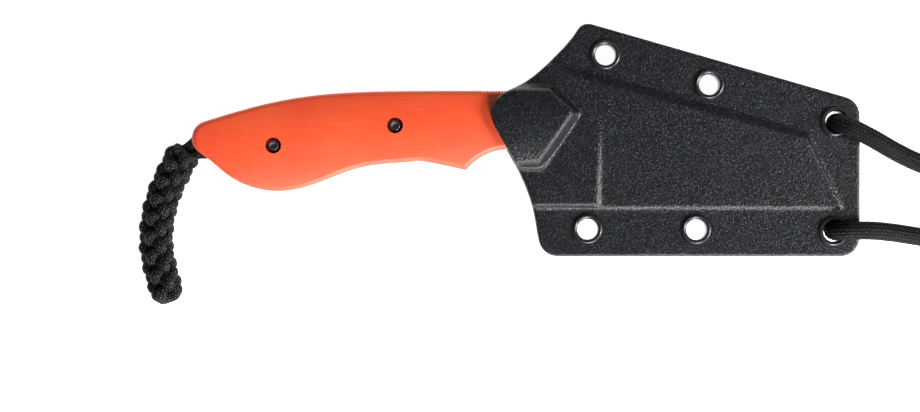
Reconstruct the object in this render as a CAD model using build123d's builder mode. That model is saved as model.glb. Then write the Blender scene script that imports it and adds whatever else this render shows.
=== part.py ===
"""Fixed-blade rigging knife in its riveted two-sheet sheath, with a braided fob and a neck cord.

Millimetres. The knife and sheath lie flat: +X runs from the butt of the handle to the sheath's toe,
+Y from the cutting edge to the spine, +Z up out of the front face. Z = 0 is the surface they lie on.
"""
from build123d import *
from math import cos, pi, radians, sin, tan
import os

os.makedirs("parts", exist_ok=True)

# ---------------------------------------------------------------- driving dimensions
mid_z = 7.0                  # middle plane of blade, tang and sheath
blade_thickness = 3.0
scale_thickness = 3.5        # each handle scale
sheet = 2.0                  # each sheath sheet
formed_sheet = 1.55          # the same sheet where it is drawn thinner over the blade
side_gap = 0.15              # blade or scale to sheath wall, across the thickness
edge_gap = 0.3               # blade or handle outline to sheath wall

tang_top = mid_z + blade_thickness / 2
scale_top = tang_top + scale_thickness
flange_top = mid_z + sheet
pocket_top = tang_top + side_gap + formed_sheet
pad_top = 2 * mid_z          # so the rear pad rests on the surface

edge_y = -15.35              # straight cutting edge
spine_y = 11.6               # top of the handle
ramp_peak = (7.0, 15.5)      # thumb ramp, highest point of the blade
clip_corner = (65.6, -0.7)   # spine meets the straight clip
tip = (73.4, edge_y)
heel_x = 16.6                # front of the unground ricasso at the edge
plunge_lean = 1.3            # width of the sloping plunge face at the edge
grind_y = 8.0                # height where the flat grind runs out
edge_half = 0.25             # half thickness where the flat grind would meet the edge
bevel_height = 0.9           # the sharpened bevel
bevel_half = 0.31

nose_top = (-77.3, 4.3)      # butt end of the handle
nose_left = (-80.2, 0.7)
nose_low = (-78.3, -3.2)
guard = (-14.6, -7.35)
front_low = (2.8, -5.6)
front_point = (10.7, 6.2)
front_high = (5.2, spine_y)
crown_radius = 30.0          # crown across the handle
crown_edge = 1.4             # rounding along the scales' outer edges

jimp_start = -10.6
jimp_pitch = 0.72
jimp_count = 20
jimp_depth = 0.28

screw_centres = [(-60.6, -1.5), (-31.5, 3.3)]
screw_names = ["butt", "grip"]
counterbore_r = 1.9
counterbore_floor = 3.1      # counterbore floor above the middle plane
head_r = 1.62
head_height = 1.05
shank_r = 0.95
shank_length = 2.8
barrel_r = 1.6
barrel_length = 6.0
socket_across = 1.5
socket_depth = 0.6

pin_centre = (-75.5, -0.1)
pin_r = 1.5
pin_length = 6.4
notch_r = 5.2                # tang cut away round the lanyard pin

eyelet_centres = [(18.9, 20.3), (43.8, 13.2), (74.1, 4.3), (14.6, -21.5), (40.7, -21.6), (73.6, -22.0)]
eyelet_names = ["top_left", "top_middle", "top_right", "low_left", "low_middle", "low_right"]
eyelet_bore_r = 2.6
eyelet_barrel_r = 3.0
eyelet_rim_r = 3.7
eyelet_rim = 0.75            # how far the rolled rims stand proud
eyelet_roll = 0.35

sheath_right = 80.0
sheath_low = -28.05
sheath_top_left = (13.6, 28.35)
sheath_top_right = (sheath_right, 9.3)
sheath_low_left = (3.7, sheath_low)
corner_r = 4.6

pocket_margin = 2.2          # blade outline to the foot of the pocket's slopes
pocket_wall = 1.7            # width of the slope along the pocket's ridge
clip_wall = 1.2              # width of the slope past the blade's clip
pocket_foot = 0.95           # width of the small step below the edge
pad_wall = 2.0               # width of the slopes round the handle pad
pocket_round = 0.7
pad_round = 1.4
edge_round = 0.45            # rounding of the sheets' cut edges

fob_d = 8.6
fob_loop_d = 2.7
cord_d = 4.5
tie_thickness = 0.6
tie_width = 5.0
coil_centre = (127.5, 5.6)
coil_inner_r = 23.0          # inner column of turns
coil_pitch = 4.6             # one column to the next
knot_r = 6.6
knot_length = 14.0


# ---------------------------------------------------------------- helpers
def finish(builder, name):
    builder.part.label = name
    export_step(builder.part, "parts/" + name + ".step")


def leaning_plane(edge, inside, base_z, top_z, run):
    """Plane through a foot edge at base_z that leans towards the inside by run at top_z."""
    low = Vector((edge @ 0).X, (edge @ 0).Y, base_z)
    along = edge % 0
    inward = Vector(-along.Y, along.X, 0)
    if inward.dot(inside - low) < 0:
        inward = -inward
    up = inward * run + Vector(0, 0, top_z - base_z)
    outward = up.cross(along)
    if outward.dot(inward) > 0:
        outward = -outward
    return Plane(origin=low, x_dir=along, z_dir=outward)


def flat_grind(top_z, edge_z, plunge_x, z_high):
    """Wedge of space taken off above the flat grind, in front of the leaning plunge face."""
    low = Vector(plunge_x + plunge_lean, edge_y, edge_z)
    high = Vector(plunge_x + plunge_lean, grind_y, top_z)
    back = Vector(plunge_x, edge_y, top_z)
    grind_normal = Vector(1, 0, 0).cross(high - low)
    plunge_normal = (back - high).cross(low - high)
    with BuildPart(mode=Mode.PRIVATE) as wedge:
        with BuildSketch(Plane.XY.offset(mid_z)):
            Rectangle(200, 120)
        extrude(amount=z_high - mid_z)
        split(bisect_by=Plane(origin=low, x_dir=(1, 0, 0), z_dir=grind_normal), keep=Keep.TOP)
        split(bisect_by=Plane(origin=high, x_dir=high - low, z_dir=plunge_normal), keep=Keep.TOP)
    return wedge.part


def cord_radii(points):
    """Largest bend at each corner that its shorter run allows; an end run serves one bend only."""
    runs = [Vector(*end) - Vector(*start) for start, end in zip(points, points[1:])]
    room = [run.length for run in runs]
    room[0] = 2 * room[0]
    room[-1] = 2 * room[-1]
    radii = []
    for index in range(len(runs) - 1):
        turn = runs[index].get_angle(runs[index + 1])
        radii.append(0.45 * min(room[index], room[index + 1]) / tan(radians(turn / 2)))
    return radii


def cord_tube(name, points, diameter):
    """Round tube along straight runs joined by tangent arcs."""
    radii = cord_radii(points)
    with BuildPart() as tube:
        with BuildLine():
            route = FilletPolyline(*points, radius=radii)
        with BuildSketch(Plane(origin=route @ 0, z_dir=route % 0)):
            Circle(diameter / 2)
        sweep()
    expected = route.length * pi * diameter**2 / 4
    print(name, "length", round(route.length, 1), "radii", [round(radius, 1) for radius in radii],
          "volume / expected", round(tube.part.volume / expected, 4))
    return tube.part


def on_coil(angle, radius, z):
    """Point at an angle and radius about the middle of the coil."""
    turn = radians(angle)
    return (coil_centre[0] + radius * cos(turn), coil_centre[1] + radius * sin(turn), z)


# ---------------------------------------------------------------- shared outlines
with BuildSketch() as handle_outline:
    with BuildLine():
        nose = ThreePointArc(nose_top, nose_left, nose_low)
        belly = Spline(
            [nose_low, (-70.8, -9.15), (-60.0, -12.4), (-49.0, -10.0), (-39.0, -6.55), (-28.0, -5.4), guard],
            tangents=[nose % 1, (1, -0.22)],
        )
        ThreePointArc(guard, (-10.6, -4.0), (-5.2, -2.3))
        ThreePointArc((-5.2, -2.3), (-0.9, -3.0), front_low)
        Polyline(front_low, front_point, front_high)
        Spline(
            [front_high, (-32.0, 11.6), (-50.0, 10.7), (-64.0, 8.2), nose_top],
            tangents=[(-1, 0), nose % 0],
        )
    make_face()

with BuildSketch() as sheath_outline:
    with BuildLine():
        lip_low = (-5.2, -1.6)
        lip_high = (-4.2, 11.8)
        heel_low = (2.55, -22.5)
        upper_end = (12.2, 26.4)
        Polyline(upper_end, sheath_top_left, sheath_top_right, (sheath_right, sheath_low),
                 sheath_low_left, heel_low)
        Spline([heel_low, (1.15, -15.3), (-1.75, -7.9), lip_low], tangents=[(-0.15, 1), (-0.62, 1)])
        Line(lip_low, (-7.8, 3.1))
        Spline([(-7.8, 3.1), (-8.7, 6.3), lip_high], tangents=[(-0.4, 1), (1, 0.45)])
        Spline([lip_high, (0.5, 14.4), (7.4, 20.6), upper_end], tangents=[(1, 0.45), (0.6, 1)])
    make_face()
    for corner, radius in [(sheath_top_left, 2.9), (sheath_top_right, corner_r),
                           ((sheath_right, sheath_low), corner_r), (sheath_low_left, corner_r)]:
        fillet(sheath_outline.vertices().sort_by_distance(corner)[0], radius=radius)

blade_sweep = [(-14, ramp_peak[1]), ramp_peak, clip_corner, tip, (-14, edge_y)]
handle_sweep = [(-14, spine_y), front_high, front_point, front_low, (-14, front_low[1])]

jimp_places = [(jimp_start + index * jimp_pitch, spine_y) for index in range(jimp_count)]
with BuildSketch() as jimp_notch:
    Polygon((-jimp_pitch / 2, 0.5), (0, -jimp_depth), (jimp_pitch / 2, 0.5), align=None)

# ---------------------------------------------------------------- blade and tang, one piece of steel
with BuildPart() as blade:
    with BuildSketch(Plane.XY.offset(mid_z - blade_thickness / 2)) as blade_profile:
        add(handle_outline.sketch)
        with BuildLine():
            Polyline((-2.0, spine_y), (3.2, spine_y), ramp_peak, clip_corner, tip, (heel_x, edge_y),
                     (heel_x - 1.6, edge_y + 1.6), (6.0, -3.0), (-2.0, -1.5), (-2.0, spine_y))
        make_face()
        fillet(blade_profile.vertices().sort_by_distance(ramp_peak)[0], radius=1.5)
    extrude(amount=blade_thickness)
    with BuildSketch(Plane.XY.offset(mid_z - blade_thickness)):
        with Locations(pin_centre):
            Circle(notch_r)
        with BuildLine():
            Polyline((pin_centre[0], 12), (pin_centre[0], -12), (-90, -12), (-90, 12), close=True)
        make_face()
    extrude(amount=2 * blade_thickness, mode=Mode.SUBTRACT)
    with BuildSketch(Plane.XY.offset(mid_z - blade_thickness)):
        with Locations(*screw_centres):
            Circle(barrel_r)
    extrude(amount=2 * blade_thickness, mode=Mode.SUBTRACT)
    front_grind = flat_grind(tang_top, mid_z + edge_half, heel_x, mid_z + 10)
    add(front_grind, mode=Mode.SUBTRACT)
    add(front_grind.mirror(Plane.XY.offset(mid_z)), mode=Mode.SUBTRACT)
    with BuildSketch(Plane.YZ.offset(heel_x - 2)) as edge_bevel:
        with BuildLine():
            Polyline((edge_y, mid_z), (edge_y + bevel_height, mid_z + bevel_half),
                     (edge_y + bevel_height, mid_z + 2), (edge_y - 1, mid_z + 2), (edge_y - 1, mid_z),
                     close=True)
        make_face()
        mirror(about=Plane.XZ.offset(-mid_z))
    extrude(amount=70, mode=Mode.SUBTRACT)
    with BuildSketch(Plane.XY.offset(mid_z - blade_thickness)):
        with Locations(*jimp_places):
            add(jimp_notch.sketch)
    extrude(amount=2 * blade_thickness, mode=Mode.SUBTRACT)
finish(blade, "blade")

# ---------------------------------------------------------------- handle scales
with BuildPart() as front_scale:
    with BuildSketch(Plane.XY.offset(tang_top)):
        add(handle_outline.sketch)
    extrude(amount=scale_thickness)
    crown_axis = Plane(origin=(-90, -3.2, scale_top - crown_radius), z_dir=(1, 0.088, 0))
    with BuildSketch(crown_axis):
        Circle(crown_radius)
    extrude(amount=120, mode=Mode.INTERSECT)
    high_edges = front_scale.edges().filter_by(lambda edge: edge.center().Z > tang_top + 0.5)
    rim = high_edges.filter_by(lambda edge: abs(edge.tangent_at(0.5).Z) < 0.5)
    fillet(rim, radius=crown_edge)
    with BuildSketch(Plane.XY.offset(tang_top)):
        with Locations(*jimp_places):
            add(jimp_notch.sketch)
    extrude(amount=scale_thickness, mode=Mode.SUBTRACT)
    with BuildSketch(Plane.XY.offset(tang_top)):
        with Locations(*screw_centres):
            Circle(barrel_r)
        with Locations(pin_centre):
            Circle(pin_r)
    extrude(amount=(pin_length - blade_thickness) / 2, mode=Mode.SUBTRACT)
    with BuildSketch(Plane.XY.offset(tang_top)):
        with Locations(*screw_centres):
            Circle(shank_r + 0.1)
    extrude(amount=scale_thickness, mode=Mode.SUBTRACT)
    with BuildSketch(Plane.XY.offset(mid_z + counterbore_floor)):
        with Locations(*screw_centres):
            Circle(counterbore_r)
    extrude(amount=scale_thickness, mode=Mode.SUBTRACT)
finish(front_scale, "front_scale")

with BuildPart() as rear_scale:
    add(front_scale.part)
    mirror(about=Plane.XY.offset(mid_z), mode=Mode.REPLACE)
finish(rear_scale, "rear_scale")

# ---------------------------------------------------------------- lanyard pin, barrels and screws
with BuildPart() as lanyard_pin:
    with BuildSketch(Plane.XY.offset(mid_z - pin_length / 2)):
        with Locations(pin_centre):
            Circle(pin_r)
    extrude(amount=pin_length)
finish(lanyard_pin, "lanyard_pin")

for place, centre in zip(screw_names, screw_centres):
    with BuildPart() as barrel:
        with BuildSketch(Plane.XY.offset(mid_z - barrel_length / 2)):
            with Locations(centre):
                Circle(barrel_r)
                Circle(shank_r, mode=Mode.SUBTRACT)
        extrude(amount=barrel_length)
    finish(barrel, place + "_barrel")

    with BuildPart() as front_screw:
        with BuildSketch(Plane.XY.offset(mid_z + counterbore_floor)):
            with Locations(centre):
                Circle(head_r)
        extrude(amount=head_height)
        fillet(front_screw.edges().sort_by(Axis.Z)[-1], radius=0.55)
        with BuildSketch(Plane.XY.offset(mid_z + counterbore_floor)):
            with Locations(centre):
                Circle(shank_r)
        extrude(amount=-shank_length)
        with BuildSketch(Plane.XY.offset(mid_z + counterbore_floor + head_height)):
            with Locations(centre):
                RegularPolygon(radius=socket_across / 2, side_count=6, major_radius=False)
        extrude(amount=-socket_depth, mode=Mode.SUBTRACT)
    finish(front_screw, place + "_front_screw")

    with BuildPart() as rear_screw:
        add(front_screw.part)
        mirror(about=Plane.XY.offset(mid_z), mode=Mode.REPLACE)
    finish(rear_screw, place + "_rear_screw")

# ---------------------------------------------------------------- sheath shells
with BuildPart() as blade_pocket:
    ridge_slope = (clip_corner[1] - ramp_peak[1]) / (clip_corner[0] - ramp_peak[0])
    foot_y = edge_y - edge_gap - pocket_foot
    foot_left = (-14, foot_y)
    foot_right = (tip[0] + pocket_margin + 0.5, foot_y)
    clip_foot = (clip_corner[0] + pocket_margin - 0.2, clip_corner[1] + pocket_margin + 0.1)
    ridge_foot = (-14, clip_foot[1] + ridge_slope * (-14 - clip_foot[0]))
    with BuildSketch(Plane.XY.offset(mid_z)) as pocket_foot_face:
        Polygon(foot_left, foot_right, clip_foot, ridge_foot, align=None)
    extrude(amount=pocket_top - mid_z)
    centre = pocket_foot_face.face().center()
    for edge in pocket_foot_face.edges().filter_by(lambda edge: edge.center().X > -13):
        if edge.center().Y < foot_y + 0.1:
            run = pocket_foot
        elif edge.center().X > clip_corner[0]:
            run = clip_wall
        else:
            run = pocket_wall
        split(bisect_by=leaning_plane(edge, centre, flange_top, pocket_top, run), keep=Keep.BOTTOM)
    plateau = blade_pocket.faces().sort_by(Axis.Z)[-1]
    fillet(plateau.edges().filter_by(lambda edge: edge.center().X > -13), radius=pocket_round)
    add(flat_grind(pocket_top, flange_top + 0.5, heel_x, pocket_top + 5), mode=Mode.SUBTRACT)

with BuildPart() as handle_pad:
    with BuildSketch(Plane.XY.offset(mid_z)) as pad_foot:
        Polygon(*handle_sweep, align=None)
        offset(amount=pad_wall + edge_gap, kind=Kind.INTERSECTION)
    extrude(amount=pad_top - mid_z)
    centre = pad_foot.face().center()
    for edge in pad_foot.edges().filter_by(lambda edge: edge.center().X > -13):
        split(bisect_by=leaning_plane(edge, centre, flange_top, pad_top, pad_wall), keep=Keep.BOTTOM)
    slopes = handle_pad.edges().filter_by(lambda edge: (edge @ 0.5).Z > flange_top and (edge @ 0.5).X > -13)
    fillet(slopes, radius=pad_round)

with BuildPart() as blade_room:
    with BuildSketch(Plane.XY.offset(mid_z)):
        Polygon(*blade_sweep, align=None)
        offset(amount=edge_gap, kind=Kind.INTERSECTION)
    extrude(amount=blade_thickness / 2 + side_gap)
    room_grind = flat_grind(tang_top + side_gap, mid_z + edge_half + edge_gap, heel_x + edge_gap, pocket_top)
    add(room_grind, mode=Mode.SUBTRACT)

with BuildPart() as handle_room:
    with BuildSketch(Plane.XY.offset(mid_z)):
        Polygon(*handle_sweep, align=None)
        offset(amount=edge_gap, kind=Kind.INTERSECTION)
    extrude(amount=scale_top + side_gap - mid_z)
    roof_edges = handle_room.faces().sort_by(Axis.Z)[-1].edges()
    chamfer(roof_edges.filter_by(lambda edge: edge.center().X > -13), length=1.2)

with BuildPart() as raised:
    add(blade_pocket.part)
    add(handle_pad.part)
    with BuildSketch(Plane.XY.offset(mid_z)):
        add(sheath_outline.sketch)
    extrude(amount=pad_top, mode=Mode.INTERSECT)
    top_edges = raised.edges().filter_by(lambda edge: (edge @ 0.5).Z > pad_top - 0.1)
    lip_edges = top_edges.filter_by(lambda edge: (edge @ 0.5).X < -2.8)
    fillet(lip_edges, radius=edge_round)

with BuildPart() as sheath_front_shell:
    with BuildSketch(Plane.XY.offset(mid_z)):
        add(sheath_outline.sketch)
    extrude(amount=sheet)
    fillet(sheath_front_shell.edges().group_by(Axis.Z)[-1], radius=edge_round)
    add(raised.part)
    add(blade_room.part, mode=Mode.SUBTRACT)
    add(handle_room.part, mode=Mode.SUBTRACT)
    with BuildSketch(Plane.XY.offset(mid_z)):
        with Locations(*eyelet_centres):
            Circle(eyelet_barrel_r)
    extrude(amount=sheet, mode=Mode.SUBTRACT)
finish(sheath_front_shell, "sheath_front_shell")

with BuildPart() as sheath_rear_shell:
    add(sheath_front_shell.part)
    mirror(about=Plane.XY.offset(mid_z), mode=Mode.REPLACE)
finish(sheath_rear_shell, "sheath_rear_shell")

# ---------------------------------------------------------------- eyelets
for place, centre in zip(eyelet_names, eyelet_centres):
    with BuildPart() as eyelet:
        section = Plane(origin=(centre[0], centre[1], mid_z), x_dir=(1, 0, 0), z_dir=(0, -1, 0))
        with BuildSketch(section) as eyelet_half:
            with Locations(((eyelet_bore_r + eyelet_barrel_r) / 2, 0)):
                Rectangle(eyelet_barrel_r - eyelet_bore_r, 2 * sheet + 2 * eyelet_rim)
            rim_middle = (eyelet_bore_r + eyelet_rim_r) / 2
            with Locations((rim_middle, sheet + eyelet_rim / 2), (rim_middle, -sheet - eyelet_rim / 2)):
                Rectangle(eyelet_rim_r - eyelet_bore_r, eyelet_rim)
            rim_tops = sheet + eyelet_rim - 0.01
            crests = eyelet_half.vertices().filter_by(lambda vertex: abs(vertex.Y) > rim_tops)
            fillet(crests, radius=eyelet_roll)
        revolve(axis=Axis((centre[0], centre[1], mid_z), (0, 0, 1)))
    finish(eyelet, "eyelet_" + place)

# ---------------------------------------------------------------- fob
fob_points = [(-81.6, -2.9, 6.8), (-84.5, -7.2, 5.9), (-87.3, -12.4, 4.8), (-89.0, -18.2, 4.4),
              (-89.5, -24.4, 4.4), (-88.8, -30.6, 4.4), (-87.1, -37.9, 4.4)]
with BuildPart() as fob_braid:
    add(cord_tube("fob_braid", fob_points, fob_d))
finish(fob_braid, "fob_braid")

to_braid = (Vector(*fob_points[0][:2]) - Vector(*pin_centre)).normalized()
across = Vector(-to_braid.Y, to_braid.X, 0)
wrap_r = pin_r + fob_loop_d / 2 + 0.1
pin_middle = Vector(pin_centre[0], pin_centre[1], mid_z)
braid_start = Vector(fob_points[0][0], fob_points[0][1], mid_z) + to_braid * 0.4
loop_points = [braid_start + across * 1.45, pin_middle + across * wrap_r - to_braid * wrap_r,
               pin_middle - across * wrap_r - to_braid * wrap_r, braid_start - across * 1.45]
with BuildPart() as fob_loop:
    add(cord_tube("fob_loop", loop_points, fob_loop_d))
finish(fob_loop, "fob_loop")

# ---------------------------------------------------------------- neck cord
bore_high = (eyelet_centres[2][0] + 0.3, eyelet_centres[2][1] - 0.1)
bore_low = (eyelet_centres[5][0] + 0.3, eyelet_centres[5][1])
over_rim = flange_top + eyelet_rim + cord_d / 2
floor_z = cord_d / 2
layer_low = tie_thickness + cord_d / 2
layer_high = layer_low + cord_d
coil_outer_r = coil_inner_r + coil_pitch

bridge_points = [(*bore_high, mid_z), (*bore_high, floor_z), (*bore_low, floor_z), (*bore_low, mid_z)]
upper_points = [(*bore_high, mid_z), (*bore_high, over_rim), (81.8, 0.7, 11.8), (88.2, -3.0, 10.4),
                (94.6, -5.9, 8.5), (101.6, -8.3, 7.6)]
lower_points = [(*bore_low, mid_z), (*bore_low, over_rim), (81.8, -21.7, 11.8), (88.6, -22.4, 10.2),
                (95.6, -23.6, 8.4), (103.2, -24.1, 7.5), (110.6, -23.6, 7.3), (117.6, -22.5, 7.4)]
inner_end = [(95, 23.0), (125, 21.3), (155, 18.3), (185, 15.2), (220, 12.7), (255, 11.0),
             (290, 10.3), (320, 11.0)]
outer_end = [(95, 27.6), (120, 25.4), (145, 22.9), (170, 20.6), (200, 18.2), (235, 16.4),
             (270, 15.0), (300, 13.6)]
knot_place = (325, 11.5)
knot_axis = Vector(cos(radians(55)), sin(radians(55)), 0)

with BuildPart() as neck_cord_coil:
    section = Plane(origin=(coil_centre[0], coil_centre[1], 0), x_dir=(1, 0, 0), z_dir=(0, -1, 0))
    with BuildSketch(section):
        with Locations(((coil_inner_r + coil_outer_r) / 2, (layer_low + layer_high) / 2)):
            RectangleRounded(coil_pitch + cord_d, 2 * cord_d, 2.0)
    revolve(axis=Axis((coil_centre[0], coil_centre[1], 0), (0, 0, 1)))
finish(neck_cord_coil, "neck_cord_coil")

with BuildPart() as neck_cord_bridge:
    add(cord_tube("neck_cord_bridge", bridge_points, cord_d))
finish(neck_cord_bridge, "neck_cord_bridge")

for name, points in [("neck_cord_upper", upper_points), ("neck_cord_lower", lower_points)]:
    with BuildPart() as leg:
        add(cord_tube(name, points, cord_d))
    finish(leg, name)

with BuildPart() as neck_cord_knot:
    knot_start = Vector(*on_coil(*knot_place, knot_r)) - knot_axis * (knot_length / 2)
    with BuildSketch(Plane(origin=knot_start, z_dir=knot_axis)):
        Circle(knot_r)
    extrude(amount=knot_length)
    fillet(neck_cord_knot.edges().filter_by(GeomType.CIRCLE), radius=2.4)
finish(neck_cord_knot, "neck_cord_knot")

with BuildPart() as neck_cord_ends:
    for name, turns in [("inner end", inner_end), ("outer end", outer_end)]:
        add(cord_tube(name, [on_coil(angle, radius, layer_low) for angle, radius in turns], cord_d))
    add(neck_cord_coil.part, mode=Mode.SUBTRACT)
    add(neck_cord_knot.part, mode=Mode.SUBTRACT)
finish(neck_cord_ends, "neck_cord_ends")

with BuildPart() as coil_tie:
    bundle = Plane(origin=(coil_centre[0], coil_centre[1], 0), x_dir=(1, 0, 0), z_dir=(0, -1, 0))
    with BuildSketch(bundle):
        with Locations(((coil_inner_r + coil_outer_r) / 2, (layer_low + layer_high) / 2)):
            RectangleRounded(coil_pitch + cord_d + 2 * tie_thickness, 2 * cord_d + 2 * tie_thickness, 2.4)
            RectangleRounded(coil_pitch + cord_d, 2 * cord_d, 2.0, mode=Mode.SUBTRACT)
    extrude(amount=tie_width / 2, both=True)
finish(coil_tie, "coil_tie")
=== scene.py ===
import math

import bmesh
import bpy
import numpy as np
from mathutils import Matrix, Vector


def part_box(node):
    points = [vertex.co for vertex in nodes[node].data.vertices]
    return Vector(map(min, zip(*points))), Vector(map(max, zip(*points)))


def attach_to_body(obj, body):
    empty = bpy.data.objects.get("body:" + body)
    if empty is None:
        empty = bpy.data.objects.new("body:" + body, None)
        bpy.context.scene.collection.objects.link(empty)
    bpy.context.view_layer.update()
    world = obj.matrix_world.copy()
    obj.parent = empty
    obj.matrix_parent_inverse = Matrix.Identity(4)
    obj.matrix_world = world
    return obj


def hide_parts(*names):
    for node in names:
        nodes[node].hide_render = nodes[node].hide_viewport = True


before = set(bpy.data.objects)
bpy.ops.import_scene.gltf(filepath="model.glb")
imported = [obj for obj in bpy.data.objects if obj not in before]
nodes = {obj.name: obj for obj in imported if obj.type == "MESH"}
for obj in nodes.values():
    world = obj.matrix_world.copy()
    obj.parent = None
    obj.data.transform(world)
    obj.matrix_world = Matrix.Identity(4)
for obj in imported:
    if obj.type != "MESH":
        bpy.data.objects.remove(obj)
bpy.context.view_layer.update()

# Plain lengths are millimetres until they are multiplied by MM; the scene itself is in metres.
MM = 0.001
LINE_STEP = 0.3 * MM
STITCH_SLANT = 0.9


# ---------------------------------------------------------------- camera
# It looks straight down on the part.
CAMERA_PLACE = (-16.0, -15.95, 622.0)
FOCAL_LENGTH = 100.0
SENSOR_WIDTH = 36.0

camera_data = bpy.data.cameras.new("camera")
camera_data.lens = FOCAL_LENGTH
camera_data.sensor_width = SENSOR_WIDTH
camera_data.clip_start = 0.01
camera_data.clip_end = 20.0
camera = bpy.data.objects.new("camera", camera_data)
camera.location = Vector(CAMERA_PLACE) * MM
bpy.context.scene.collection.objects.link(camera)
bpy.context.scene.camera = camera


# ---------------------------------------------------------------- lines and meshes
def route(name, points):
    """Points along the smooth NURBS line that has these control points, given in millimetres."""
    data = bpy.data.curves.new(name, "CURVE")
    data.dimensions = "3D"
    spline = data.splines.new("NURBS")
    spline.points.add(len(points) - 1)
    for control, place in zip(spline.points, points):
        control.co = (*(Vector(place) * MM), 1.0)
    spline.order_u = 3
    spline.use_endpoint_u = True
    spline.resolution_u = 16
    holder = bpy.data.objects.new(name, data)
    bpy.context.scene.collection.objects.link(holder)
    bpy.context.view_layer.update()
    mesh = bpy.data.meshes.new_from_object(holder)
    line = np.array([vertex.co for vertex in mesh.vertices])
    bpy.data.objects.remove(holder)
    bpy.data.meshes.remove(mesh)
    bpy.data.curves.remove(data)
    return line


def distances(line):
    """Distance of each point of a line from its start."""
    steps = np.linalg.norm(np.diff(line, axis=0), axis=1)
    return np.concatenate([[0.0], np.cumsum(steps)])


def evenly(line, step):
    """The same line with its points about one step apart."""
    along = distances(line)
    places = np.linspace(0.0, along[-1], max(2, round(along[-1] / step) + 1))
    return np.stack([np.interp(places, along, line[:, axis]) for axis in range(3)], axis=1)


def smooth_line(name, points):
    """The route's smooth line, with its points evenly spaced."""
    return evenly(route(name, points), LINE_STEP)


def unit(vectors):
    return vectors / np.linalg.norm(vectors, axis=-1, keepdims=True)


def carried_frames(line, up):
    """Two crossways directions that are carried along a line without twist."""
    tangents = unit(np.gradient(line, axis=0))
    side = unit(np.array(up, float) - np.dot(up, tangents[0]) * tangents[0])
    sides = [side]
    for tangent in tangents[1:]:
        side = unit(side - np.dot(side, tangent) * tangent)
        sides.append(side)
    sides = np.array(sides)
    return sides, np.cross(tangents, sides)


def upright_frames(line):
    """Two crossways directions, the first as near to straight up as it can be."""
    tangents = unit(np.gradient(line, axis=0))
    sides = unit(np.array([0.0, 0.0, 1.0]) - tangents[:, 2:3] * tangents)
    return sides, np.cross(tangents, sides)


def mesh_piece(name, vertices, faces, uvs=None, smooth=True):
    """Object with a mesh; uvs holds one pair for each corner of each face."""
    mesh = bpy.data.meshes.new(name)
    mesh.from_pydata([tuple(vertex) for vertex in vertices], [], faces)
    if uvs is not None:
        layer = mesh.uv_layers.new(name="weave")
        layer.data.foreach_set("uv", np.asarray(uvs, np.float32).ravel())
    mesh.polygons.foreach_set("use_smooth", [smooth] * len(faces))
    mesh.update()
    piece = bpy.data.objects.new(name, mesh)
    bpy.context.scene.collection.objects.link(piece)
    return piece


def woven_tube(name, line, diameter, weave, around=48, up=(0, 0, 1), cap=0.6):
    """Tube along a line with a woven surface and ends rounded over cap millimetres.

    The weave is (columns round the tube, stitch length, stitch depth). Stitches lean to alternate
    sides in neighbouring columns, and every other column starts half a stitch on.
    """
    columns, stitch, depth = weave
    along = distances(line)
    sides, crosses = carried_frames(line, up)
    turn = np.arange(around + 1) / around
    end_room = np.minimum(along, along[-1] - along)[:, None]
    rounding = np.sqrt(np.clip(1 - (1 - np.clip(end_room / (cap * MM), 0, 1)) ** 2, 0.02, 1))
    column = np.floor(turn * columns)[None, :]
    across = turn[None, :] * columns - column - 0.5
    side = np.where(column % 2 == 0, 1.0, -1.0)
    phase = along[:, None] / stitch + side * across * STITCH_SLANT + 0.5 * (column % 2)
    relief = np.sqrt(np.abs(np.cos(np.pi * phase))) * np.sqrt(np.abs(np.cos(np.pi * across)))
    radius = (diameter / 2 - depth + depth * relief) * rounding
    radius[:, -1] = radius[:, 0]
    angle = 2 * np.pi * turn
    ring = (np.cos(angle)[None, :, None] * sides[:, None, :]
            + np.sin(angle)[None, :, None] * crosses[:, None, :])
    grid = (line[:, None, :] + radius[:, :, None] * ring)[:, :-1]
    rows = len(line)
    vertices = list(grid.reshape(-1, 3)) + [line[0], line[-1]]
    faces = []
    uvs = []
    for row in range(rows - 1):
        for step in range(around):
            after = (step + 1) % around
            faces.append((row * around + step, row * around + after,
                          (row + 1) * around + after, (row + 1) * around + step))
            low, high = along[row] / stitch, along[row + 1] / stitch
            left, right = turn[step] * columns, turn[step + 1] * columns
            uvs += [(low, left), (low, right), (high, right), (high, left)]
    start_cap = (rows * around, 0, True)
    end_cap = (rows * around + 1, (rows - 1) * around, False)
    for centre, base, flip in (start_cap, end_cap):
        for step in range(around):
            pair = (base + step, base + (step + 1) % around)
            faces.append((*reversed(pair), centre) if flip else (*pair, centre))
            uvs += [(0, 0), (0.1, 0), (0.1, 0.1)]
    return mesh_piece(name, vertices, faces, uvs)


# ---------------------------------------------------------------- neck cord
# The two legs leave their eyelets towards +X and wind side by side into one round coil, with an
# upper and a lower layer, then spiral in to the knot that joins them.
CORD_D = 4.5
CORD_WEAVE = (16, 0.9 * MM, 0.16 * MM)
MID_Z = 7.0
FLOOR_Z = 2.25
LAYER_LOW = 2.85
LAYER_HIGH = 7.35
OVER_RIM = 12.0
BORE_HIGH = (74.4, 4.2)
BORE_LOW = (73.9, -22.0)
COIL_CENTRE = (127.5, 5.6)
COIL_INNER_R = 23.0
COIL_OUTER_R = 27.6
TURN_STEP = 20
COIL_START = -85
COIL_END = 455
RAMP_START = 115
RAMP_TURN = 80


def on_coil(angle, radius, height):
    turn = math.radians(angle)
    return (COIL_CENTRE[0] + radius * math.cos(turn), COIL_CENTRE[1] + radius * math.sin(turn), height)


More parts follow.
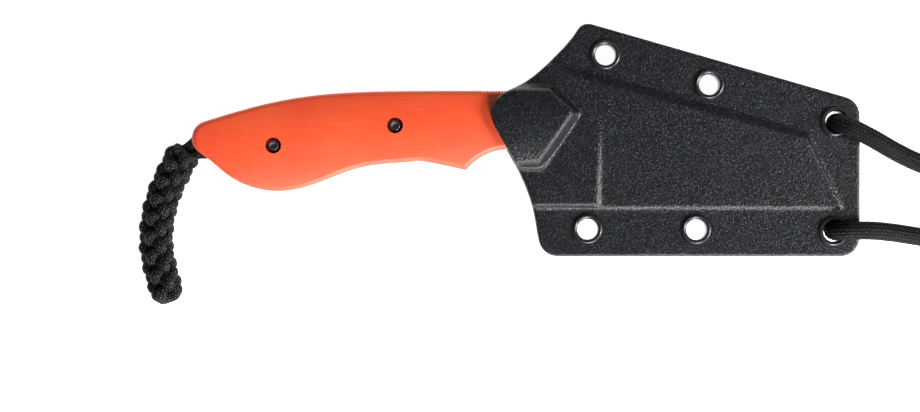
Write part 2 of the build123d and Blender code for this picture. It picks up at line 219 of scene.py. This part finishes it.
def coil_turns(radius):
    """One and a half turns: the upper layer, a ramp down, then the lower layer."""
    turns = []
    for angle in range(COIL_START, COIL_END, TURN_STEP):
        down = min(1.0, max(0.0, (angle - RAMP_START) / RAMP_TURN))
        turns.append(on_coil(angle, radius, LAYER_HIGH + (LAYER_LOW - LAYER_HIGH) * down))
    return turns


bridge_points = [(*BORE_HIGH, MID_Z), (*BORE_HIGH, FLOOR_Z),
                 (*BORE_LOW, FLOOR_Z), (*BORE_LOW, MID_Z)]
upper_points = [(*BORE_HIGH, MID_Z), (*BORE_HIGH, OVER_RIM), (81.8, 0.7, 11.8), (88.2, -3.0, 10.4),
                (94.6, -5.9, 8.5), (101.6, -8.3, 7.6), (110.0, -13.2, LAYER_HIGH),
                (118.6, -16.4, LAYER_HIGH)]
lower_points = [(*BORE_LOW, MID_Z), (*BORE_LOW, OVER_RIM), (81.8, -21.7, 11.8), (88.6, -22.4, 10.2),
                (95.6, -23.6, 8.4), (103.2, -24.1, 7.5), (110.6, -23.6, 7.3), (117.6, -22.5, 7.4)]
# Each point of the spirals is an angle in degrees and a radius.
inner_end = [(95, 23.0), (125, 21.3), (155, 18.3), (185, 15.2),
             (220, 12.7), (255, 11.0), (290, 10.3), (320, 11.0)]
outer_end = [(95, 27.6), (120, 25.4), (145, 22.9), (170, 20.6),
             (200, 18.2), (235, 16.4), (270, 15.0), (300, 13.6)]

legs = {}
for name, points, radius, ending in [("upper", upper_points, COIL_INNER_R, inner_end),
                                     ("lower", lower_points, COIL_OUTER_R, outer_end)]:
    control = points + coil_turns(radius) + [on_coil(angle, r, LAYER_LOW) for angle, r in ending]
    line = smooth_line("neck_cord_" + name + "_line", control)
    legs[name] = (woven_tube("neck_cord_leg_" + name, line, CORD_D * MM, CORD_WEAVE), line)

bridge_line = smooth_line("neck_cord_bridge_line", bridge_points)
bridge = woven_tube("neck_cord_behind", bridge_line, CORD_D * MM, CORD_WEAVE, up=(0, 1, 0))

KNOT_TURNS = 2.7
KNOT_STEPS = 14
KNOT_R = 4.35
KNOT_ADVANCE = 3.784
KNOT_CORD = 0.97
knot_angle = math.radians(55)
knot_along = Vector((math.cos(knot_angle), math.sin(knot_angle), 0))
knot_side = Vector((-math.sin(knot_angle), math.cos(knot_angle), 0))
knot_up = Vector((0, 0, 1))
knot_middle = Vector(on_coil(325, 11.5, 6.6))


def knot_point(along, radius, degrees):
    turn = math.radians(degrees)
    outward = knot_side * math.cos(turn) + knot_up * math.sin(turn)
    return knot_middle + knot_along * along + outward * radius


knot_points = [knot_point(-3.0, 1.2, 40)]
for step in range(int(KNOT_TURNS * KNOT_STEPS) + 1):
    turns = step / KNOT_STEPS
    knot_points.append(knot_point((turns - KNOT_TURNS / 2) * KNOT_ADVANCE, KNOT_R, 90 + 360 * turns))
knot_points.append(knot_point(3.0, 1.2, 300))
knot_line = smooth_line("knot_line", knot_points)
knot = woven_tube("neck_cord_overhand_knot", knot_line, CORD_D * KNOT_CORD * MM, CORD_WEAVE,
                  up=knot_along)

tails = []
for name, sideways, height, reach in [("inner", -1.7, -3.6, 14.5), ("outer", 2.4, -3.0, 12.5)]:
    bends = [(2.0, 0.9, -1.2), (6.0, 1.0, -2.4), (reach - 3.5, 1.2, height), (reach, 1.7, height - 0.4)]
    tail_points = [knot_middle + knot_along * along + knot_side * sideways * spread + knot_up * lift
                   for along, spread, lift in bends]
    tail_line = smooth_line("tail_line", tail_points)
    tails.append(woven_tube("neck_cord_tail_" + name, tail_line, CORD_D * MM, CORD_WEAVE, cap=1.4))


def strap_loop(name, centre, half_width, half_height, corner, thickness, width):
    """Flat strap round a bundle, with its free end lying over its start.

    The section holds pairs: a share of the strap's width, and of its thickness.
    """
    corner_steps = 8
    overlap = 14
    climb = 4
    outline = []
    for middle, start in [((1, 1), 0), ((-1, 1), 90), ((-1, -1), 180), ((1, -1), 270)]:
        for step in range(corner_steps + 1):
            turn = math.radians(start + step * 90 / corner_steps)
            outline.append((middle[0] * (half_width - corner) + corner * math.cos(turn),
                            middle[1] * (half_height - corner) + corner * math.sin(turn),
                            math.cos(turn), math.sin(turn)))
    wraps = outline + outline[:overlap]
    section = [(-0.5, 0.0), (-0.47, 0.85), (-0.4, 1.0), (0.4, 1.0), (0.47, 0.85), (0.5, 0.0)]
    vertices = []
    for index, (x, z, out_x, out_z) in enumerate(wraps):
        lift = thickness * 1.02 * min(1.0, max(0.0, (index - len(outline) + climb - 1) / climb))
        for share, rise in section:
            out = lift + thickness * rise
            vertices.append((centre[0] + x + out_x * out, centre[1] + share * width,
                             centre[2] + z + out_z * out))
    count = len(section)
    faces = [(row * count + step, row * count + (step + 1) % count,
              (row + 1) * count + (step + 1) % count, (row + 1) * count + step)
             for row in range(len(wraps) - 1) for step in range(count)]
    faces.append(tuple(reversed(range(count))))
    faces.append(tuple(range((len(wraps) - 1) * count, len(wraps) * count)))
    return mesh_piece(name, [Vector(vertex) * MM for vertex in vertices], faces)


bundle_x = COIL_CENTRE[0] + (COIL_INNER_R + COIL_OUTER_R) / 2
bundle_z = (LAYER_LOW + LAYER_HIGH) / 2
tie = strap_loop("coil_tie_strap", (bundle_x, COIL_CENTRE[1], bundle_z), half_width=4.55,
                 half_height=4.5, corner=2.0, thickness=0.6, width=5.0)


# ---------------------------------------------------------------- fob
# Eight strands, four wound each way, pass over and under each other along the fob's line.
FOB_STRAND_D = 2.7
FOB_AROUND = 24
FOB_WEAVE = (12, 0.62 * MM, 0.09 * MM)
BRAID_R = 2.0
BRAID_SWING = 1.15
BRAID_LEAD = 18.4
BRAID_DRIFT = 0.13
FIRST_COLUMN = math.radians(22.5)
MOUTH_LENGTH = 2.5
MOUTH_NARROW = 0.7
TIP_LENGTH = 1.6
TIP_NARROW = 0.6

fob_points = [(-82.0, -2.3, 6.9), (-84.5, -6.9, 5.9), (-87.3, -12.4, 4.8), (-89.0, -18.2, 4.4),
              (-89.6, -24.4, 4.4), (-88.7, -30.6, 4.4), (-86.5, -37.9, 4.4)]
fob_line = smooth_line("fob_line", fob_points)
fob_along = distances(fob_line)
fob_length = fob_along[-1]
fob_ups, fob_sides = upright_frames(fob_line)

strands = []
for sense in (1, -1):
    for carrier in range(4):
        angle = sense * 2 * math.pi * fob_along / (BRAID_LEAD * MM) + carrier * math.pi / 2
        radius = (BRAID_R + sense * BRAID_SWING * np.cos(4 * angle)) * MM
        opening = np.sin(np.clip(fob_along / (MOUTH_LENGTH * MM), 0, 1) * np.pi / 2)
        closing = np.sin(np.clip((fob_length - fob_along) / (TIP_LENGTH * MM), 0, 1) * np.pi / 2)
        radius *= MOUTH_NARROW + (1 - MOUTH_NARROW) * opening
        radius *= TIP_NARROW + (1 - TIP_NARROW) * closing
        turned = angle - sense * BRAID_DRIFT * np.sin(4 * angle) + FIRST_COLUMN
        outward = np.cos(turned)[:, None] * fob_ups + np.sin(turned)[:, None] * fob_sides
        line = evenly(fob_line + radius[:, None] * outward, LINE_STEP)
        name = "fob_strand_" + ("right_" if sense > 0 else "left_") + str(carrier + 1)
        piece = woven_tube(name, line, FOB_STRAND_D * MM, FOB_WEAVE, around=FOB_AROUND, cap=1.0)
        strands.append((piece, line))

pin_middle = (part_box("lanyard_pin")[0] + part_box("lanyard_pin")[1]) / 2 / MM
braid_mouth = Vector((-82.7, -3.7, pin_middle.z))
to_braid = (braid_mouth - pin_middle).normalized()
loop_side = Vector((-to_braid.y, to_braid.x, 0))
loop_points = []
for side in (1, -1):
    half = [pin_middle + to_braid * 8.4 + loop_side * side * 0.9 - Vector((0, 0, 0.6)),
            pin_middle + to_braid * 5.2 + loop_side * side * 0.95,
            pin_middle + to_braid * 1.8 + loop_side * side * 2.7,
            pin_middle - to_braid * 2.2 + loop_side * side * 3.1]
    loop_points += half if side > 0 else list(reversed(half))
    if side > 0:
        loop_points.append(pin_middle - to_braid * 3.5)
loop_line = smooth_line("fob_loop_line", loop_points)
fob_loop = woven_tube("fob_pin_loop", loop_line, FOB_STRAND_D * MM, FOB_WEAVE, around=FOB_AROUND)

end_middle = Vector(fob_line[-1]) / MM
end_along = Vector(fob_line[-1] - fob_line[-4]).normalized()
end_side = Vector((0, 0, 1)).cross(end_along)
finish_strands = []
for name, lift, lean in [("upper", 1.5, 0.5), ("lower", -1.7, -0.5)]:
    wrap_points = [end_middle + end_side * 1.6 - end_along * 2.6 + Vector((0, 0, lift * 0.7)),
                   end_middle + end_side * 2.5 + end_along * (-0.9 + lean) + Vector((0, 0, lift)),
                   end_middle + end_side * 1.2 + end_along * (0.0 + lean / 2) + Vector((0, 0, lift)),
                   end_middle - end_side * 1.2 + end_along * (0.1 - lean / 2) + Vector((0, 0, lift)),
                   end_middle - end_side * 2.5 - end_along * (0.8 + lean) + Vector((0, 0, lift)),
                   end_middle - end_side * 1.6 - end_along * 2.6 + Vector((0, 0, lift * 0.7))]
    wrap_line = smooth_line("fob_end_line", wrap_points)
    finish_strands.append(woven_tube("fob_end_tuck_" + name, wrap_line, FOB_STRAND_D * MM, FOB_WEAVE,
                                     around=FOB_AROUND))


# ---------------------------------------------------------------- eyelets
def lathe(name, profile, centre, around=72):
    """Ring turned about an upright axis; profile is a closed loop of radii and heights."""
    vertices = []
    for step in range(around):
        turn = 2 * math.pi * step / around
        vertices += [(centre[0] + r * MM * math.cos(turn), centre[1] + r * MM * math.sin(turn),
                      centre[2] + z * MM) for r, z in profile]
    count = len(profile)
    faces = [(step * count + row, ((step + 1) % around) * count + row,
              ((step + 1) % around) * count + (row + 1) % count, step * count + (row + 1) % count)
             for step in range(around) for row in range(count)]
    return mesh_piece(name, vertices, faces)


EYELET_BORE = 2.5
EYELET_BARREL = 2.98
EYELET_RIM = 3.6
SHEET = 2.0
RIM_PROUD = 0.78
MOUTH_ROUND = 0.62
RIM_ROUND = 0.5
ROUND_STEPS = 8


def eyelet_profile():
    """Barrel with a funnelled mouth that rolls over into a rounded rim, the same at both ends."""
    upper = []
    for step in range(ROUND_STEPS + 1):
        turn = math.radians(180 - step * 90 / ROUND_STEPS)
        upper.append((EYELET_BORE + MOUTH_ROUND + MOUTH_ROUND * math.cos(turn),
                      SHEET + RIM_PROUD - MOUTH_ROUND + MOUTH_ROUND * math.sin(turn)))
    for step in range(ROUND_STEPS + 1):
        turn = math.radians(90 - step * 90 / ROUND_STEPS)
        upper.append((EYELET_RIM - RIM_ROUND + RIM_ROUND * math.cos(turn),
                      SHEET + 0.02 + (RIM_PROUD - 0.02) * math.sin(turn)))
    upper += [(EYELET_RIM - 0.12, SHEET - 0.02), (EYELET_BARREL, SHEET - 0.02)]
    return upper + [(r, -z) for r, z in reversed(upper)]


eyelets = []
for name in ["top_left", "top_middle", "top_right", "low_left", "low_middle", "low_right"]:
    low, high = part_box("eyelet_" + name)
    piece = lathe("rolled_eyelet_" + name, eyelet_profile(), (low + high) / 2)
    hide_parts("eyelet_" + name)
    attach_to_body(piece, "sheath")
    eyelets.append(piece)


# ---------------------------------------------------------------- handle screws
SCREW_FLANGE_R = 1.8
SCREW_CREST_R = 0.98
SCREW_CREST_ROUND = 0.3
SCREW_SHANK_R = 0.95
SCREW_HEAD = 1.5
CREST_STEPS = 11
SOCKET_DEPTH = 0.62
SOCKET_LOBES = 6
LOBE_DEPTH = 0.13
HEAD_LIFT = 0.45


def screw_profile(length):
    """From the shank's end, up round the flanged button head and down into its socket.

    Each point is a radius and a height, and the head's crest is at height 0.
    """
    profile = [(0.0, -length), (SCREW_SHANK_R - 0.15, -length), (SCREW_SHANK_R, 0.15 - length),
               (SCREW_SHANK_R, -SCREW_HEAD), (SCREW_FLANGE_R - 0.04, -SCREW_HEAD),
               (SCREW_FLANGE_R, -0.98), (SCREW_FLANGE_R, -0.84), (SCREW_FLANGE_R - 0.06, -0.77),
               (1.5, -0.72), (1.42, -0.6)]
    for step in range(CREST_STEPS + 1):
        turn = math.radians(20 + step * 140 / CREST_STEPS)
        profile.append((SCREW_CREST_R + SCREW_CREST_ROUND * math.cos(turn),
                        SCREW_CREST_ROUND * (math.sin(turn) - 1)))
    return profile + [(0.66, -0.35), (0.64, -SOCKET_DEPTH), (0.4, -0.66), (0.0, -0.75)]


def socket_screw(node, facing, around=72):
    """Turned screw with a lobed socket, in the place of a plain one that faces up (1) or down (-1)."""
    low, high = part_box(node)
    middle = (low + high) / 2
    end = high.z + HEAD_LIFT * MM if facing > 0 else low.z - HEAD_LIFT * MM
    profile = screw_profile((high.z - low.z) / MM + HEAD_LIFT)
    rows = profile[1:-1]
    vertices = []
    for radius, height in rows:
        lobed = LOBE_DEPTH if radius < SCREW_CREST_R - 0.2 and height > -SCREW_HEAD else 0.0
        for step in range(around):
            turn = 2 * math.pi * step / around
            r = radius * (1 + lobed * math.cos(SOCKET_LOBES * turn)) * MM
            vertices.append((middle.x + r * math.cos(turn), middle.y + facing * r * math.sin(turn),
                             end + facing * height * MM))
    faces = [(row * around + step, row * around + (step + 1) % around,
              (row + 1) * around + (step + 1) % around, (row + 1) * around + step)
             for row in range(len(rows) - 1) for step in range(around)]
    tail = len(vertices)
    vertices += [(middle.x, middle.y, end + facing * profile[tip][1] * MM) for tip in (0, -1)]
    last = (len(rows) - 1) * around
    faces += [((step + 1) % around, step, tail) for step in range(around)]
    faces += [(last + step, last + (step + 1) % around, tail + 1) for step in range(around)]
    piece = mesh_piece("socket_" + node, vertices, faces)
    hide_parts(node)
    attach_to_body(piece, "knife")
    return piece


screws = [socket_screw(end + "_" + side + "_screw", facing)
          for end in ("butt", "grip") for side, facing in (("front", 1), ("rear", -1))]


# ---------------------------------------------------------------- sheath shells
SHELL_VOXEL = 0.31
SHELL_PASSES = 5
PARTING_KEPT = (0.9, 1.8)
PAD_CROWN_R = 34.0
PAD_CROWN_FROM = 10.35
PAD_CROWN_FULL = 12.4
PAD_AXIS_Y = 4.0
PAD_AXIS_SLOPE = 0.088


def softened(name, node, crowned=False):
    """A CAD shell with an even mesh, its edges and corners relaxed as hot sheet settles over a form.

    The relaxing fades out towards the parting plane, so the two sheets still meet flush. A crowned
    shell's handle pad also takes the crown of the scale beneath it.
    """
    data = nodes[node].data.copy()
    work = bmesh.new()
    work.from_mesh(data)
    bmesh.ops.remove_doubles(work, verts=work.verts, dist=1e-6)
    work.to_mesh(data)
    work.free()
    piece = bpy.data.objects.new(name, data)
    bpy.context.scene.collection.objects.link(piece)
    even = piece.modifiers.new("even", "REMESH")
    even.mode = "VOXEL"
    even.voxel_size = SHELL_VOXEL * MM
    bpy.context.view_layer.update()
    mesh = bpy.data.meshes.new_from_object(piece.evaluated_get(bpy.context.evaluated_depsgraph_get()))
    piece.modifiers.clear()
    piece.data = mesh
    count = len(mesh.vertices)
    places = np.zeros(count * 3)
    mesh.vertices.foreach_get("co", places)
    places = places.reshape(-1, 3)
    ends = np.zeros(len(mesh.edges) * 2, int)
    mesh.edges.foreach_get("vertices", ends)
    first, second = ends.reshape(-1, 2).T
    degree = np.bincount(first, minlength=count) + np.bincount(second, minlength=count)
    low, high = (MM * value for value in PARTING_KEPT)
    share = np.clip((np.abs(places[:, 2] - MID_Z * MM) - low) / (high - low), 0, 1)
    if crowned:
        climbed = (places[:, 2] / MM - PAD_CROWN_FROM) / (PAD_CROWN_FULL - PAD_CROWN_FROM)
        off_axis = places[:, 1] - PAD_AXIS_Y * MM - PAD_AXIS_SLOPE * places[:, 0]
        places[:, 2] -= np.clip(climbed, 0, 1) * off_axis**2 / (2 * PAD_CROWN_R * MM)
    for _ in range(SHELL_PASSES):
        total = np.zeros_like(places)
        for axis in range(3):
            total[:, axis] = (np.bincount(first, weights=places[second, axis], minlength=count)
                              + np.bincount(second, weights=places[first, axis], minlength=count))
        places += 0.5 * share[:, None] * (total / degree[:, None] - places)
    mesh.vertices.foreach_set("co", places.ravel())
    mesh.polygons.foreach_set("use_smooth", [True] * len(mesh.polygons))
    mesh.update()
    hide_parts(node)
    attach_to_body(piece, "sheath")
    return piece


shells = [softened("formed_front_sheet", "sheath_front_shell", crowned=True),
          softened("formed_rear_sheet", "sheath_rear_shell")]


# ---------------------------------------------------------------- materials
class Shader:
    """A material with a Principled surface, and short ways to add nodes that feed it."""

    def __init__(self, name, color, roughness, metallic=0.0):
        self.material = bpy.data.materials.new(name)
        self.material.use_nodes = True
        self.tree = self.material.node_tree
        self.surface = self.tree.nodes["Principled BSDF"]
        self.surface.inputs["Base Color"].default_value = (*color, 1)
        self.surface.inputs["Roughness"].default_value = roughness
        self.surface.inputs["Metallic"].default_value = metallic

    def add(self, kind, inputs=None, **settings):
        node = self.tree.nodes.new("ShaderNode" + kind)
        for key, value in settings.items():
            setattr(node, key, value)
        for key, value in (inputs or {}).items():
            if isinstance(value, bpy.types.NodeSocket):
                self.tree.links.new(value, node.inputs[key])
            else:
                node.inputs[key].default_value = value
        return node

    def place(self, scale=(1, 1, 1), turn=0.0):
        """Position on the part in millimetres, stretched by scale and turned about Z."""
        coords = self.add("TexCoord").outputs["Object"]
        mapping = self.add("Mapping", {"Vector": coords, "Scale": [value / MM for value in scale],
                                       "Rotation": (0, 0, math.radians(turn))})
        return mapping.outputs["Vector"]

    def noise(self, vector, scale, detail=3.0, roughness=0.5, distortion=0.0):
        return self.add("TexNoise", {"Vector": vector, "Scale": scale, "Detail": detail,
                                     "Roughness": roughness, "Distortion": distortion}).outputs["Fac"]

    def wave(self, vector, scale, distortion, direction):
        """Regular bands across one direction, a little wavy."""
        return self.add("TexWave", {"Vector": vector, "Scale": scale, "Distortion": distortion,
                                    "Detail": 2.0}, wave_type="BANDS",
                        bands_direction=direction).outputs["Fac"]

    def cells(self, vector, scale):
        """Distance from the middle of the nearest of many scattered cells."""
        return self.add("TexVoronoi", {"Vector": vector, "Scale": scale,
                                       "Randomness": 1.0}).outputs["Distance"]

    def math(self, operation, first, second=0.0, third=0.0):
        return self.add("Math", {0: first, 1: second, 2: third}, operation=operation).outputs[0]

    def mix(self, shares):
        """Sum of several values, each times its share."""
        total = 0.0
        for value, share in shares:
            total = self.math("MULTIPLY_ADD", value, share, total)
        return total

    def span(self, value, low, high, new_low, new_high):
        return self.add("MapRange", {"Value": value, "From Min": low, "From Max": high,
                                     "To Min": new_low, "To Max": new_high}).outputs["Result"]

    def ramp(self, value, stops):
        node = self.add("ValToRGB", {"Fac": value})
        elements = node.color_ramp.elements
        while len(elements) < len(stops):
            elements.new(0.5)
        for element, (place, color) in zip(elements, stops):
            element.position = place
            element.color = (*color, 1)
        return node.outputs["Color"]

    def bump(self, layers):
        """Chains bumps; each layer is (height, strength, depth in millimetres)."""
        normal = None
        for height, strength, depth in layers:
            inputs = {"Height": height, "Strength": strength, "Distance": depth * MM}
            if normal is not None:
                inputs["Normal"] = normal
            normal = self.add("Bump", inputs).outputs["Normal"]
        self.tree.links.new(normal, self.surface.inputs["Normal"])

    def feed(self, socket, value):
        self.tree.links.new(value, self.surface.inputs[socket])


def sheath_plastic():
    """Thermoformed black sheet with a pebbled grain; its colour is painted lighter on the pebble crests
    as painted glints and darker in the hollows as painted shade.
    """
    shader = Shader("sheath_plastic", (0.01, 0.0105, 0.0115), 0.42)
    place = shader.place()
    pebbles = shader.cells(place, 2.4)
    grain = shader.noise(place, 3.2, 2.0, 0.6)
    cloud = shader.noise(place, 0.05, 3.0)
    wear = shader.noise(place, 0.35, 5.0, 0.7)
    height = shader.math("ADD", shader.math("MULTIPLY", pebbles, -0.7), grain)
    shader.bump([(height, 0.9, 0.11), (cloud, 0.15, 0.4)])
    # Painted glints and shade: the colour follows the pebble height, light on the crests and near black
    # in the hollows.
    shader.feed("Base Color", shader.ramp(height, [(0.05, (0.0015, 0.002, 0.0028)),
                                                   (0.24, (0.005, 0.0065, 0.0085)),
                                                   (0.5, (0.052, 0.06, 0.071))]))
    shader.feed("Roughness", shader.span(wear, 0.3, 0.7, 0.29, 0.35))
    shader.surface.inputs["Specular IOR Level"].default_value = 0.5
    return shader.material


def handle_laminate():
    """Orange glass laminate: layers cut through by the crown, with a faint woven cloth in each."""
    shader = Shader("handle_laminate", (0.88, 0.085, 0.025), 0.5)
    place = shader.place()
    layers = shader.noise(shader.place((0.06, 1.0, 1.6), 2.0), 2.6, 3.0, 0.55, 0.2)
    cloth = shader.place((1, 1, 1), 2.0)
    warp = shader.wave(cloth, 0.6, 1.2, "X")
    weft = shader.wave(cloth, 0.66, 1.0, "Y")
    weave = shader.mix([(warp, 0.4), (weft, 0.6)])
    blotch = shader.noise(place, 0.06, 3.0, 0.6)
    tone = shader.mix([(layers, 0.36), (weave, 0.2), (blotch, 0.44)])
    shader.feed("Base Color", shader.ramp(tone, [(0.32, (0.84, 0.05, 0.004)),
                                                 (0.5, (0.92, 0.079, 0.01)),
                                                 (0.68, (0.96, 0.11, 0.022))]))
    fine = shader.noise(place, 3.0, 3.0, 0.6)
    shader.feed("Roughness", shader.span(fine, 0.3, 0.7, 0.46, 0.58))
    shader.bump([(weave, 0.25, 0.03), (fine, 0.3, 0.025), (layers, 0.15, 0.04)])
    shader.surface.inputs["Specular IOR Level"].default_value = 0.8
    shader.surface.inputs["Coat Weight"].default_value = 0.3
    shader.surface.inputs["Coat Roughness"].default_value = 0.42
    return shader.material


def ground_steel():
    """Steel with satin grinding lines across the blade and stonewashed scuffs."""
    shader = Shader("blade_steel", (0.4, 0.41, 0.43), 0.3, 1.0)
    lines = shader.noise(shader.place((1.0, 0.02, 0.02)), 6.0, 4.0, 0.7)
    scuffs = shader.noise(shader.place(), 0.8, 5.0, 0.7, 1.0)
    shader.feed("Base Color", shader.ramp(scuffs, [(0.3, (0.33, 0.34, 0.355)),
                                                   (0.7, (0.48, 0.49, 0.505))]))
    shader.feed("Roughness", shader.span(lines, 0.25, 0.75, 0.24, 0.42))
    shader.bump([(lines, 0.25, 0.02), (scuffs, 0.1, 0.03)])
    shader.surface.inputs["Anisotropic"].default_value = 0.5
    return shader.material


def black_oxide(name, color, low, high):
    """Blackened metal, rubbed a little on its high places."""
    shader = Shader(name, color, low, 0.85)
    scuffs = shader.noise(shader.place(), 2.5, 5.0, 0.7, 0.6)
    rubbed = tuple(3 * value for value in color)
    shader.feed("Base Color", shader.ramp(scuffs, [(0.35, color), (0.8, rubbed)]))
    shader.feed("Roughness", shader.span(scuffs, 0.3, 0.7, low, high))
    shader.bump([(scuffs, 0.08, 0.01)])
    return shader.material


def woven_nylon(name, light):
    """Braided nylon: each stitch is a small bundle of filaments. Its colour is painted lighter on the
    stitch crests as painted highlight, up to the colour light, and darker between stitches as painted
    shade.
    """
    dark = (0.0006, 0.0006, 0.0009)
    shader = Shader(name, dark, 0.62)
    uv = shader.add("SeparateXYZ", {"Vector": shader.add("UVMap", uv_map="weave").outputs["UV"]})
    column = shader.math("FLOOR", uv.outputs["Y"])
    odd = shader.math("MODULO", column, 2.0)
    side = shader.math("MULTIPLY_ADD", odd, -2.0, 1.0)
    across = shader.math("SUBTRACT", shader.math("FRACT", uv.outputs["Y"]), 0.5)
    slant = shader.math("MULTIPLY", side, across)
    phase = shader.math("MULTIPLY_ADD", slant, STITCH_SLANT, uv.outputs["X"])
    phase = shader.math("MULTIPLY_ADD", odd, 0.5, phase)
    crest = shader.math("ABSOLUTE", shader.math("COSINE", shader.math("MULTIPLY", phase, math.pi)))
    ridge = shader.math("COSINE", shader.math("MULTIPLY", across, math.pi))
    stitch = shader.math("MULTIPLY", crest, ridge)
    threads = shader.add("CombineXYZ", {"X": shader.math("MULTIPLY", phase, 5.0),
                                        "Y": shader.math("MULTIPLY", uv.outputs["Y"], 1.3)})
    filament = shader.noise(threads.outputs["Vector"], 2.2, 2.0, 0.5)
    fuzz = shader.noise(shader.place(), 2.4, 3.0, 0.7)
    tone = shader.math("MULTIPLY", shader.math("MULTIPLY", stitch, filament),
                       shader.span(fuzz, 0.3, 0.7, 0.4, 1.7))
    # Painted highlight on the stitch crests and painted shade between stitches, flecked by the
    # filaments.
    middle = tuple(value * 0.12 for value in light)
    shader.feed("Base Color", shader.ramp(tone, [(0.12, dark), (0.42, middle), (0.66, light)]))
    shader.feed("Roughness", shader.span(filament, 0.3, 0.7, 0.45, 0.75))
    shader.bump([(stitch, 0.8, 0.16), (filament, 0.6, 0.08)])
    shader.surface.inputs["Specular IOR Level"].default_value = 0.15
    return shader.material


def strap_fabric():
    """Black hook-and-loop tape: short looped pile over a woven ground."""
    shader = Shader("tie_strap", (0.02, 0.02, 0.022), 0.85)
    pile = shader.noise(shader.place(), 3.2, 4.0, 0.8)
    ground = shader.wave(shader.place(), 1.1, 1.0, "Y")
    shader.feed("Base Color", shader.ramp(pile, [(0.35, (0.010, 0.010, 0.011)),
                                                 (0.7, (0.05, 0.05, 0.054))]))
    shader.bump([(pile, 0.8, 0.2), (ground, 0.4, 0.12)])
    shader.surface.inputs["Sheen Weight"].default_value = 0.4
    return shader.material


plastic = sheath_plastic()
laminate = handle_laminate()
steel = ground_steel()
fastener = black_oxide("fastener_steel", (0.07, 0.07, 0.076), 0.16, 0.26)
eyelet_metal = black_oxide("eyelet_metal", (0.045, 0.045, 0.05), 0.26, 0.38)
# The colours given are the painted highlights on the stitch crests.
neck_nylon = woven_nylon("neck_cord", (0.045, 0.049, 0.058))
fob_nylon = woven_nylon("fob_cord", (0.13, 0.14, 0.16))
strap_cloth = strap_fabric()


def dress(piece, surface):
    piece.data.materials.clear()
    piece.data.materials.append(surface)


def dress_nodes(surface, *names):
    for name in names:
        dress(nodes[name], surface)


for piece in shells:
    dress(piece, plastic)
dress_nodes(laminate, "front_scale", "rear_scale")
dress_nodes(steel, "blade")
dress_nodes(fastener, "lanyard_pin", "butt_barrel", "grip_barrel")
for piece in screws:
    dress(piece, fastener)
for piece in eyelets:
    dress(piece, eyelet_metal)


# ---------------------------------------------------------------- riding, materials and cords
def attach(piece, body, surface):
    dress(piece, surface)
    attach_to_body(piece, body)


for piece, _ in legs.values():
    attach(piece, "sheath", neck_nylon)
for piece in [bridge, knot, *tails]:
    attach(piece, "sheath", neck_nylon)
attach(tie, "sheath", strap_cloth)
for piece in [piece for piece, _ in strands] + [fob_loop, *finish_strands]:
    attach(piece, "fob", fob_nylon)

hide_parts("neck_cord_upper", "neck_cord_coil", "neck_cord_ends")
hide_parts("neck_cord_lower")
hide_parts("neck_cord_bridge")
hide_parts("neck_cord_knot")
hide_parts("coil_tie")
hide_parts("fob_braid")
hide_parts("fob_loop")

for name, place, length in [("upper", BORE_HIGH, 0.340), ("lower", BORE_LOW, 0.385)]:
    piece, line = legs[name]


# ---------------------------------------------------------------- floor and light
def plane(name, size, height):
    half = size / 2
    corners = [(-half, -half), (half, -half), (half, half), (-half, half)]
    return mesh_piece(name, [(x, y, height) for x, y in corners], [(0, 1, 2, 3)], smooth=False)


floor = plane("floor", 6.0, -0.0002)
floor_shader = Shader("floor", (0.9, 0.9, 0.9), 0.9)
floor_shader.surface.inputs["Emission Color"].default_value = (1, 1, 1, 1)
floor_shader.surface.inputs["Emission Strength"].default_value = 0.92
dress(floor, floor_shader.material)


def area_light(name, place, size, power):
    """Rectangular lamp that faces the origin; its place and size are in metres."""
    data = bpy.data.lights.new(name, "AREA")
    data.shape = "RECTANGLE"
    data.size = size[0]
    data.size_y = size[1]
    data.energy = power
    light = bpy.data.objects.new(name, data)
    light.location = place
    light.rotation_euler = (-Vector(place)).to_track_quat("-Z", "Y").to_euler()
    bpy.context.scene.collection.objects.link(light)


# Two key lamps, one towards +X and one towards -Y, with their bearings in degrees from +X.
KEY_DISTANCE = 0.5
KEY_HEIGHT = 0.29
KEY_SIZE = (0.18, 0.2)
for name, bearing, power in [("key_right", -16, 4.6), ("key_low", -74, 3.8)]:
    turn = math.radians(bearing)
    place = (KEY_DISTANCE * math.cos(turn), KEY_DISTANCE * math.sin(turn), KEY_HEIGHT)
    area_light(name, place, KEY_SIZE, power)
area_light("fill", (-0.5, 0.5, 0.9), (0.8, 0.8), 0.3)

world = bpy.data.worlds.new("studio")
world.use_nodes = True
world.node_tree.nodes["Background"].inputs["Color"].default_value = (1, 1, 1, 1)
world.node_tree.nodes["Background"].inputs["Strength"].default_value = 0.16
bpy.context.scene.world = world
bpy.context.scene.view_settings.view_transform = "Standard"
